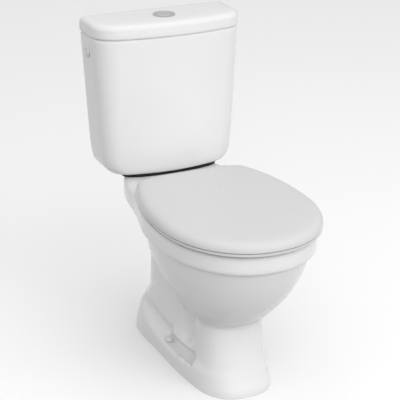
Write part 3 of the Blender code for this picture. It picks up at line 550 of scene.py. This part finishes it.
class Growing(Nodes):
    """A geometry tree with named inputs, grown into one plain mesh for each set of sizes."""

    def __init__(self, name, inputs):
        tree = bpy.data.node_groups.new(name, "GeometryNodeTree")
        super().__init__(tree)
        for label, kind in inputs.items():
            tree.interface.new_socket(label, in_out="INPUT", socket_type=kind)
        tree.interface.new_socket("Geometry", in_out="OUTPUT", socket_type="NodeSocketGeometry")
        self.sizes = tree.nodes.new("NodeGroupInput")
        self.end = tree.nodes.new("NodeGroupOutput")

    def size(self, label):
        return Value(self, self.sizes.outputs[label])

    def finish(self, geometry):
        """Last two nodes: real geometry in the piece's own material."""
        real = self.node("GeometryNodeRealizeInstances", {}, {"Geometry": geometry})
        sockets = {"Geometry": real, "Material": self.size("Material")}
        self.put(self.end.inputs["Geometry"], self.node("GeometryNodeSetMaterial", {}, sockets))

    def grow(self, name, sizes, sharp=38):
        """A plain object from the tree at these sizes, moved out from the wall."""
        obj = bpy.data.objects.new(name, bpy.data.meshes.new(name))
        bpy.context.scene.collection.objects.link(obj)
        step = obj.modifiers.new("grown", "NODES")
        step.node_group = self.tree
        for item in self.tree.interface.items_tree:
            if item.in_out == "INPUT" and item.name in sizes:
                step[item.identifier] = sizes[item.name]
        plain(obj)
        bm = bmesh.new()
        bm.from_mesh(obj.data)
        bmesh.ops.translate(bm, verts=bm.verts, vec=(0, WALL, 0))
        bmesh.ops.recalc_face_normals(bm, faces=bm.faces)
        bm.to_mesh(obj.data)
        bm.free()
        obj.data.shade_smooth()
        obj.data.set_sharp_from_angle(angle=math.radians(sharp))
        return obj


# Threads: a ridge of three-sided section wound round the shank, half sunk in it.
thread = Growing("screw_thread", {
    "Radius": "NodeSocketFloat", "Pitch": "NodeSocketFloat",
    "Turns": "NodeSocketFloat", "Depth": "NodeSocketFloat",
    "Start": "NodeSocketVector", "Lean": "NodeSocketVector", "Material": "NodeSocketMaterial",
})
wound = thread.node("GeometryNodeCurveSpiral", {}, {
    "Resolution": 28, "Rotations": thread.size("Turns"), "Start Radius": thread.size("Radius"),
    "End Radius": thread.size("Radius"), "Height": thread.size("Pitch") * thread.size("Turns"),
})
ridge = thread.node("GeometryNodeCurvePrimitiveCircle", {"mode": "RADIUS"}, {
    "Resolution": 3, "Radius": thread.size("Depth"),
})
ridges = thread.node("GeometryNodeCurveToMesh", {}, {
    "Curve": wound, "Profile Curve": ridge, "Fill Caps": True,
})
thread.finish(thread.node("GeometryNodeTransform", {}, {
    "Geometry": ridges, "Translation": thread.size("Start"), "Rotation": thread.size("Lean"),
}))


def threaded(name, finish, radius, pitch, turns, start, lean=(0.0, 0.0, 0.0)):
    """A thread riding with the china, from its start along the way it leans."""
    piece = thread.grow(name, {
        "Radius": radius, "Pitch": pitch, "Turns": turns, "Depth": pitch * 0.42,
        "Start": start, "Lean": lean, "Material": finish,
    })
    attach(piece, "root")


for hand in ("left", "right"):
    bolt_low, bolt_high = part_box(f"tank_bolt_{hand}")
    threaded(f"tank_bolt_thread_{hand}", brass.material, 0.0040, 0.00125, 30.0,
             ((bolt_low.x + bolt_high.x) / 2, VALVE_Y, bolt_low.z + 0.0015))

# Cistern tank. Slip cast box, wider at the top, with a bowed front, soft corners and a rolled lower
# edge; the open top is hidden by the lid, and side holes take the inlet and a blanking plug.
TANK_LOW, TANK_HIGH = (corner.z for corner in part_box("cistern_tank"))
TANK_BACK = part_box("cistern_tank")[1].y - WALL
TANK_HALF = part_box("cistern_tank")[1].x
SIDE_HOLE_Y, SIDE_HOLE_Z = -0.045, 0.700
BOLT_X = 0.065
TANK_FRONT = -0.1430
TANK_CORNER = 0.060
TANK_BOW = 0.024
TANK_WALL = 0.0090


def box_ring(z, half, front, back, bow, corner, back_corner, steps=14):
    """Cistern outline: flat back, straight sides, bowed front and round corners."""
    quarter = np.radians(np.linspace(0, 90, steps + 1))

    def arc(x, y, radius, start):
        turn = quarter + math.radians(start)
        return np.column_stack([x + radius * np.cos(turn), y + radius * np.sin(turn)])

    inner = half - corner
    shoulder = front + bow * (inner / half) ** 2
    lean = math.degrees(math.atan(2 * bow * inner / half ** 2))
    turned_in = np.radians(np.linspace(180, 270 - lean, steps + 1))
    left = corner * np.column_stack([np.cos(turned_in), np.sin(turned_in)]) + (-inner, shoulder + corner)
    left[:, 1] += shoulder - left[-1, 1] + bow * ((left[-1, 0] / half) ** 2 - (inner / half) ** 2)
    across = np.linspace(left[-1, 0], -left[-1, 0], 34)[1:-1]
    bowed = np.column_stack([across, front + bow * (across / half) ** 2])
    right = left[::-1] * (-1, 1)
    flat = np.vstack([
        arc(half - back_corner, back - back_corner, back_corner, 0),
        arc(-half + back_corner, back - back_corner, back_corner, 90),
        left, bowed, right,
    ])
    return np.column_stack([flat, np.full(len(flat), z)])


def tank_ring(z, half, front, corner, inset=0.0):
    back_corner = 0.006 - inset * 0.2
    return box_ring(z, half - inset, front + inset, TANK_BACK - inset, TANK_BOW, corner, back_corner)


outside = eased_rows([
    (TANK_LOW, 0.1340, -0.1270, 0.038), (TANK_LOW + 0.0015, 0.1425, -0.1300, 0.042),
    (TANK_LOW + 0.007, 0.1515, -0.1340, 0.046), (TANK_LOW + 0.022, 0.1613, -0.1370, 0.049),
    (TANK_LOW + 0.060, 0.1675, -0.1390, 0.052), (0.600, 0.1757, -0.1412, 0.056),
    (TANK_HIGH - 0.006, TANK_HALF, TANK_FRONT, TANK_CORNER),
], 0.006)
rings = [tank_ring(*row) for row in outside]
for drop, inset in ((0.0022, 0.0010), (0.0, 0.0034), (0.0, 0.0070), (0.003, TANK_WALL)):
    rings.append(tank_ring(TANK_HIGH - drop, TANK_HALF, TANK_FRONT, TANK_CORNER, inset))
for row in reversed(outside[3:-1]):
    if row[0] > TANK_LOW + 0.016:
        rings.append(tank_ring(*row, TANK_WALL))
tank = skinned("tank_casting", rings, china)
holes = [rod("hole", 0.030, 0.39, 0.44, china, (0, VALVE_Y, 0))]
for side in (-1, 1):
    low, high = sorted((side * 0.150, side * 0.200))
    holes.append(rod("hole", 0.0105, low, high, china, (0, SIDE_HOLE_Y, SIDE_HOLE_Z), "X"))
    holes.append(rod("hole", 0.0055, 0.39, 0.44, china, (side * BOLT_X, VALVE_Y, 0)))
combined(tank, "DIFFERENCE", holes)
tank.data.set_sharp_from_angle(angle=math.radians(38))
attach(tank, "root")
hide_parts("cistern_tank")

# Cistern lid. Slip cast cover with a broad rolled edge along its front, lifted off for servicing; it
# drops over the tank's rim, its underside is hollow, and the button goes through its middle.
LID_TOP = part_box("cistern_lid")[1].z
LID_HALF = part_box("cistern_lid")[1].x
LID_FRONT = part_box("cistern_lid")[0].y - WALL
LID_BOW = 0.026
LID_CORNER = 0.063
EDGE = 0.0125


def lid_ring(z, inset):
    corner = max(LID_CORNER - inset * 0.5, 0.02)
    return box_ring(z, LID_HALF - inset, LID_FRONT + inset, -inset * 0.25, LID_BOW, corner, 0.006)


lid_low = TANK_HIGH + 0.0003
rows = [(lid_low, 0.0044), (lid_low + 0.0010, 0.0018), (lid_low + 0.0032, 0.0003), (lid_low + 0.006, 0.0)]
for lift in np.radians(np.linspace(0, 84, 12)):
    rows.append((LID_TOP - 0.0015 - EDGE + EDGE * math.sin(lift), EDGE * (1 - math.cos(lift))))
rows += [(LID_TOP - 0.0009, 0.016), (LID_TOP - 0.0004, 0.023), (LID_TOP - 0.0001, 0.034), (LID_TOP, 0.048)]
lid = skinned("lid_casting", [lid_ring(*row) for row in rows], china)
cavity = skinned("cavity", [lid_ring(lid_low - 0.005, 0.016), lid_ring(LID_TOP - 0.012, 0.020)], china)
button_hole = rod("hole", 0.0215, 0.75, 0.79, china, (0, VALVE_Y, 0))
combined(lid, "DIFFERENCE", [cavity, button_hole])
lid.data.set_sharp_from_angle(angle=math.radians(38))
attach(lid, "root")
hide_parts("cistern_lid")

# Flush valve, fill valve and blanking plug. Moulded plastic, screwed up through the tank with
# backnuts; the riser lifts inside its cage, and the float swings its arm on a steel pin.
plastic_white = Finish("moulded_white", ior=1.49)
plastic_white.mottled(25.0, 2.0, (0.78, 0.78, 0.76), (0.72, 0.72, 0.70))
plastic_white.roughness(0.34 + 0.14 * plastic_white.noise(60.0))
plastic_white.relief(plastic_white.noise(520.0, 2.0), 0.0002, 0.5)

plastic_blue = Finish("moulded_blue", ior=1.49)
plastic_blue.mottled(25.0, 2.0, (0.10, 0.22, 0.45), (0.07, 0.17, 0.38))
plastic_blue.roughness(0.36 + 0.14 * plastic_blue.noise(60.0))
plastic_blue.relief(plastic_blue.noise(520.0, 2.0), 0.0002, 0.5)

refinished(plastic_white.material, "flush_valve_body", "flush_valve_backnut", "fill_valve_head",
           "fill_pipe", "float_arm", "side_plug_nut", "button_nut", "full_flush_rod", "half_flush_rod",
           "seat_wing_nut_left", "seat_wing_nut_right", "floor_sleeve_left", "floor_sleeve_right")
refinished(plastic_blue.material, "overflow_riser", "float")

shank_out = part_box("inlet_shank")[1].x
threaded("inlet_thread", brass.material, 0.0095, 0.00180, 10.0,
         (shank_out - 0.0200, SIDE_HOLE_Y, SIDE_HOLE_Z), (0.0, math.pi / 2, 0.0))

PLUG_OUT = -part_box("side_plug")[0].x
plug = turned("blanking_plug", [(radius, depth - PLUG_OUT) for radius, depth in (
    (0, 0.0270), (0.0095, 0.0270), (0.0095, 0.0030), (0.0124, 0.0030), (0.0128, 0.0027), (0.0128, 0.0021),
    (0.0122, 0.0013), (0.0108, 0.0007), (0.0100, 0.0007), (0.0095, 0.0014), (0.0090, 0.0014),
    (0.0085, 0.0005), (0.0060, 0.0001), (0.0030, 0.0), (0, 0.0),
)], plastic_white.material, (0, SIDE_HOLE_Y, SIDE_HOLE_Z), "X", 72)
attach(plug, "root")
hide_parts("side_plug")

# Flush button. A chromed brass bezel clamped through the lid, and two half-round buttons in it, one
# for each flush, with dished tops and softly broken edges.
chrome = Finish("chromium_plate", metallic=1.0)
chrome.mottled(40.0, 2.0, (0.66, 0.67, 0.69), (0.58, 0.59, 0.61))
chrome.roughness(0.07 + 0.08 * chrome.noise(220.0, 3.0))
chrome.relief(chrome.noise(90.0, 1.0), 0.0002, 0.15)

BUTTON = 0.0183
wall_radius = BUTTON + 0.0005
bezel = turned("bezel_ring", [
    (wall_radius, 0.7585), (wall_radius, 0.7565), (0.0209, 0.7565), (0.0209, LID_TOP + 0.0003),
    (0.0258, LID_TOP + 0.0003), (0.0262, LID_TOP + 0.0007), (0.0262, LID_TOP + 0.0012),
    (0.0257, LID_TOP + 0.0020), (0.0248, LID_TOP + 0.0026), (0.0232, LID_TOP + 0.0030),
    (0.0214, LID_TOP + 0.0030), (0.0203, LID_TOP + 0.0025), (0.0195, LID_TOP + 0.0016),
    (wall_radius + 0.0003, LID_TOP + 0.0008), (wall_radius, LID_TOP + 0.0002),
], chrome.material, (0, VALVE_Y, 0), steps=96)
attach(bezel, "root")
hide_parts("button_bezel")


def block(name, low, high, material):
    """Plain bar with corners at low and high."""
    low, high = Vector(low), Vector(high)
    bm = bmesh.new()
    bmesh.ops.create_cube(bm, size=1.0)
    bmesh.ops.scale(bm, verts=bm.verts, vec=high - low)
    bmesh.ops.translate(bm, verts=bm.verts, vec=(low + high) / 2)
    return object_of(name, bm, material)


for side, hand in ((1, "full"), (-1, "half")):
    top = LID_TOP + 0.0028
    button = turned(f"{hand}_button", [
        (0, 0.7690), (BUTTON, 0.7690), (BUTTON, LID_TOP + 0.0008), (BUTTON - 0.0003, LID_TOP + 0.0016),
        (BUTTON - 0.0010, LID_TOP + 0.0023), (BUTTON - 0.0022, top - 0.0001), (BUTTON * 0.7, top - 0.0002),
        (BUTTON * 0.45, top - 0.0004), (BUTTON * 0.2, top - 0.0006), (0, top - 0.0006),
    ], chrome.material, (0, VALVE_Y, 0), steps=96)
    low, high = sorted((side * 0.0004, side * 0.0304))
    half = block("half", (low, VALVE_Y - 0.03, 0.755), (high, VALVE_Y + 0.03, 0.795), chrome.material)
    combined(button, "INTERSECT", [half], "EXACT")
    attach(button, f"{hand}_button_body")
    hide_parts(f"{hand}_flush_button")

# Seat ring and lid. Pressed white thermoset, thick and softly rounded, the lid's skirt lapping the
# ring; both turn on the same hinge pins and stand on rubber buffers.
seat_plastic = Finish("seat_thermoset", ior=1.50, coat_weight=0.15, coat_roughness=0.18)
seat_plastic.mottled(7.0, 2.0, (0.650, 0.650, 0.648), (0.630, 0.630, 0.629))
seat_plastic.roughness(0.25 + 0.10 * seat_plastic.noise(30.0, 2.0))
moulded = seat_plastic.noise(90.0, 2.0) * 0.6 + seat_plastic.noise(600.0, 1.0) * 0.4
seat_plastic.relief(moulded, 0.0003, 0.25)

SEAT_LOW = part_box("seat_lid")[0].z
SEAT_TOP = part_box("seat_lid")[1].z
SEAT_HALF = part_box("seat_lid")[1].x
SEAT_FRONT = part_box("seat_lid")[0].y - WALL
SEAT_MIDDLE = -0.450
SEAT_REACH = 0.317
SEAT_BACK = -0.199
SEAT_CORNER = 0.016
SEAT_STEPS = 160
FRONT_BEND, REAR_BEND = 2.1, 2.25
HINGE_Y, HINGE_Z = -0.215, 0.4215
PIN, EYE = 0.003, 0.007


def seat_ring_at(z, inset, back=SEAT_BACK):
    """Seat outline: an egg cut straight across at its back, with rounded corners there."""
    half = SEAT_HALF - inset
    end = SEAT_MIDDLE + SEAT_REACH - inset
    ring = egg(z, half, SEAT_FRONT + inset, SEAT_MIDDLE, end, half, FRONT_BEND, REAR_BEND, steps=SEAT_STEPS)
    edge = back - inset - SEAT_CORNER
    over = np.clip((ring[:, 1] - edge) / (end - edge), 0, 1)
    ring[:, 1] = np.where(over > 0, edge + SEAT_CORNER * np.sin(over * math.pi / 2), ring[:, 1])
    return ring


outer = seat_ring_at(0, 0.0015, -0.234)
inner = egg(0, 0.114, -0.582, -0.440, -0.285, 0.114, 2.1, 2.3, -0.15, SEAT_STEPS)
# Round the ring's section: share of the way from outer to inner edge, 0, and height.
section = eased_rows([
    (0.14, 0, 0.4095), (0.11, 0, 0.4078), (0.09, 0, 0.4069), (0.02, 0, 0.4069), (0.004, 0, 0.4074),
    (0.0, 0, 0.4086), (0.0, 0, 0.4112), (0.004, 0, 0.4126), (0.020, 0, 0.4132), (0.11, 0, 0.4135),
    (0.16, 0, 0.4160), (0.32, 0, 0.4196), (0.58, 0, 0.4205), (0.84, 0, 0.4180), (0.96, 0, 0.4140),
    (1.0, 0, 0.4100), (1.0, 0, 0.4068), (0.975, 0, 0.4045), (0.90, 0, 0.4041), (0.88, 0, 0.4080),
    (0.80, 0, 0.4130), (0.58, 0, 0.4158), (0.32, 0, 0.4150), (0.20, 0, 0.4110),
], 0.03)
rings = []
for share, _, z in section:
    ring = outer * (1 - share) + inner * share
    ring[:, 2] = z
    rings.append(ring)
seat_ring = skinned("seat_ring_moulding", rings, seat_plastic.material, closed=True)


def lug(name, low, high, ends, heights):
    """Hinge lug: a bar between two ends and two heights, joined to an eye round the pin."""
    corners = ((low, ends[0], heights[0]), (high, ends[1], heights[1]))
    eye = rod(name, EYE, low, high, seat_plastic.material, (0, HINGE_Y, HINGE_Z), "X", 48)
    return combined(block(name, *corners, seat_plastic.material), "UNION", [eye])


def pin_hole(low, high):
    return rod("pin_hole", PIN + 0.0003, low, high, seat_plastic.material, (0, HINGE_Y, HINGE_Z), "X", 32)


for side in (-1, 1):
    low, high = sorted((side * 0.0585, side * 0.0710))
    reaches = (-0.245, HINGE_Y), (HINGE_Z - 0.0065, HINGE_Z + 0.0020)
    combined(seat_ring, "UNION", [lug("ring_lug", low, high, *reaches)])
    combined(seat_ring, "DIFFERENCE", [pin_hole(low - 0.01, high + 0.01)])
seat_ring.data.set_sharp_from_angle(angle=math.radians(38))
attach(seat_ring, "seat_ring_body")
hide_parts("seat_ring")

# The lid's outside follows one rule: its outline drawn in, row by row, up a tight edge and a low crown.
CROWN = 0.0030
SKIRT = 0.0020
dome = Growing("seat_lid_dome", {
    "Half Width": "NodeSocketFloat", "Front": "NodeSocketFloat", "Middle": "NodeSocketFloat",
    "Reach": "NodeSocketFloat", "Back": "NodeSocketFloat", "Corner": "NodeSocketFloat",
    "Low": "NodeSocketFloat", "Edge Rise": "NodeSocketFloat", "Crown": "NodeSocketFloat",
    "Skirt": "NodeSocketFloat", "Around": "NodeSocketInt", "Rows": "NodeSocketInt",
    "Material": "NodeSocketMaterial",
})
# A square sheet wraps round the outline; the rows meet in a seam on top and are merged.
sheet = dome.node("GeometryNodeMeshGrid", {}, {
    "Size X": 1.0, "Size Y": 1.0,
    "Vertices X": dome.size("Around") + 1, "Vertices Y": dome.size("Rows") + 1,
})
place = dome.node("GeometryNodeInputPosition")
along = dome.node("ShaderNodeSeparateXYZ", {}, {"Vector": place}, output=0)
up = dome.node("ShaderNodeSeparateXYZ", {}, {"Vector": place}, output=1)
turn = (along + 0.5) * math.tau
row = ((up + 0.5) * dome.size("Rows") + 0.001).floor()
# Row 0 closes the underside, rows 1 to 4 roll the lower lip, and the rest draw in to the top.
lip = ((row - 1) / 3).at_least(0.0).at_most(1.0)
share = ((row - 4).at_least(0.0) / (dome.size("Rows") - 4)) ** 2.6
drawn_in = share * dome.size("Half Width") + 0.0042 * (1 - lip) ** 2
raised = row > 0.5
inset = drawn_in * raised + dome.size("Half Width") * (1 - raised)
ahead = turn.cosine() > 0
bend = 2 / (FRONT_BEND * ahead + REAR_BEND * (1 - ahead))
x = (dome.size("Half Width") - inset) * turn.sine().sign() * abs(turn.sine()) ** bend
reach = (dome.size("Middle") - dome.size("Front")) * ahead + dome.size("Reach") * (1 - ahead) - inset
y = dome.size("Middle") - reach * turn.cosine().sign() * abs(turn.cosine()) ** bend
edge = dome.size("Back") - inset - dome.size("Corner")
end = dome.size("Middle") + dome.size("Reach") - inset
over = ((y - edge) / (end - edge)).at_least(0.0).at_most(1.0)
y = y.at_most(edge) + dome.size("Corner") * (over * (math.pi / 2)).sine()
tight = (1 - (1 - share) ** 22).root()
crowned = 1 - (1 - share) ** 2
z = dome.size("Low") + dome.size("Skirt") * lip ** 2
z = z + dome.size("Edge Rise") * tight + dome.size("Crown") * crowned
shaped = dome.node("GeometryNodeSetPosition", {}, {
    "Geometry": sheet, "Position": dome.node("ShaderNodeCombineXYZ", {}, {"X": x, "Y": y, "Z": z}),
})
dome.finish(dome.node("GeometryNodeMergeByDistance", {}, {"Geometry": shaped, "Distance": 0.000005}))
seat_lid = dome.grow("seat_lid_moulding", {
    "Half Width": SEAT_HALF, "Front": SEAT_FRONT, "Middle": SEAT_MIDDLE, "Reach": SEAT_REACH,
    "Back": SEAT_BACK, "Corner": SEAT_CORNER, "Low": SEAT_LOW, "Crown": CROWN, "Skirt": SKIRT,
    "Edge Rise": SEAT_TOP - SEAT_LOW - SKIRT - CROWN, "Around": SEAT_STEPS, "Rows": 32,
    "Material": seat_plastic.material,
})
under_rows = ((0.4100, 0.0050), (0.4250, 0.0065), (0.4290, 0.0100), (0.4315, 0.0200))
under = skinned("under", [seat_ring_at(*row) for row in under_rows], seat_plastic.material)
combined(seat_lid, "DIFFERENCE", [under])
for side in (-1, 1):
    low, high = sorted((side * 0.0665, side * 0.0885))
    notch = block("notch", (low, -0.2275, 0.4100), (high, -0.1900, 0.4312), seat_plastic.material)
    combined(seat_lid, "DIFFERENCE", [notch])
    low, high = sorted((side * 0.0840, side * 0.0965))
    reaches = (HINGE_Y - 0.0065, HINGE_Y + 0.0065), (HINGE_Z, 0.4330)
    combined(seat_lid, "UNION", [lug("lid_lug", low, high, *reaches)])
    combined(seat_lid, "DIFFERENCE", [pin_hole(low - 0.01, high + 0.01)])
seat_lid.data.set_sharp_from_angle(angle=math.radians(38))
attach(seat_lid, "seat_lid_body")
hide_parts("seat_lid")

for hand in ("left", "right"):
    post_low, post_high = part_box(f"hinge_post_{hand}")
    threaded(f"hinge_stud_thread_{hand}", chrome.material, PIN, 0.00100, 44.0,
             ((post_low.x + post_high.x) / 2, HINGE_Y, post_low.z + 0.0015))
refinished(chrome.material, "hinge_post_left", "hinge_post_right", "hinge_pin_left", "hinge_pin_right")
refinished(rubber_black.material, "ring_buffer_1", "ring_buffer_2", "ring_buffer_3", "ring_buffer_4",
           "lid_buffer_left", "lid_buffer_right")

# Floor fixings. Each screw goes down through a plastic sleeve in the foot's ledge, and a snap-on
# domed cap hides its head.
for hand in ("left", "right"):
    cap_low, cap_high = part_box(f"floor_cap_{hand}")
    radius = (cap_high.x - cap_low.x) / 2
    tall = cap_high.z - cap_low.z
    profile = [(0, cap_low.z), (radius, cap_low.z), (radius, cap_low.z + tall * 0.3)]
    for lift in np.radians(np.linspace(12, 84, 8)):
        profile.append((radius * math.cos(lift), cap_low.z + tall * (0.3 + 0.7 * math.sin(lift))))
    profile.append((0, cap_high.z))
    place = ((cap_low.x + cap_high.x) / 2, (cap_low.y + cap_high.y) / 2 - WALL, 0)
    cap = turned(f"screw_cap_{hand}", profile, plastic_white.material, place, steps=48)
    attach(cap, "root")
    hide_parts(f"floor_cap_{hand}")

# Studio. A plain pale floor that runs out of view all round, one broad soft light from high in
# front, a weak one overhead, and a long lens.
pale = Finish("pale_floor")
pale.mottled(2.0, 2.0, (0.975, 0.975, 0.975), (0.965, 0.965, 0.965))
pale.roughness(0.75 + 0.1 * pale.noise(6.0))
bm = bmesh.new()
bmesh.ops.create_circle(bm, cap_ends=True, segments=96, radius=14.0)
floor = object_of("floor", bm, pale.material)
floor.visible_diffuse = False

world = bpy.data.worlds.new("studio")
world.use_nodes = True
sky = Nodes(world.node_tree)
toward = sky.node("ShaderNodeTexCoord", output=0)
rise = sky.node("ShaderNodeSeparateXYZ", sockets={"Vector": toward}, output=2)
below, above = (0.27, 0.27, 0.27, 1), (0.78, 0.78, 0.78, 1)
glow = sky.node("ShaderNodeValToRGB", {"stops": [(0.0, below), (1.0, above)]}, {"Fac": rise * 1.2 + 0.5})
sky.put(world.node_tree.nodes["Background"].inputs["Color"], glow)
bpy.context.scene.world = world


def soft_light(name, place, target, size, power, mirrored=True):
    light = bpy.data.lights.new(name, "AREA")
    light.shape = "DISK"
    light.size = size
    light.energy = power
    obj = bpy.data.objects.new(name, light)
    obj.visible_glossy = mirrored
    obj.location = place
    obj.rotation_euler = (Vector(target) - Vector(place)).to_track_quat("-Z", "Y").to_euler()
    bpy.context.scene.collection.objects.link(obj)


# The key lamp is two in one place, so that the glaze mirrors only the weaker of them.
KEY_PLACE, KEY_TARGET, KEY_SIZE = (0.25, -3.4, 2.3), (0, 0, 0.45), 5.4
soft_light("key", KEY_PLACE, KEY_TARGET, KEY_SIZE, 108, mirrored=False)
soft_light("sheen", KEY_PLACE, KEY_TARGET, KEY_SIZE, 42)
soft_light("overhead", (0.1, 0.3, 3.4), (0, 0, 0.4), 2.4, 4)

AIM = Vector((-0.0087, 0.0435, 0.391))
DISTANCE = 3.011
TURN, LIFT = math.radians(24.74), math.radians(21.99)
lens = bpy.data.cameras.new("camera")
lens.lens = 118.1
camera = bpy.data.objects.new("camera", lens)
back_off = Vector((-math.sin(TURN) * math.cos(LIFT), -math.cos(TURN) * math.cos(LIFT), math.sin(LIFT)))
camera.location = AIM + back_off * DISTANCE
camera.rotation_euler = (-back_off).to_track_quat("-Z", "Y").to_euler()
bpy.context.scene.collection.objects.link(camera)
bpy.context.scene.camera = camera
bpy.context.scene.view_settings.view_transform = "Standard"
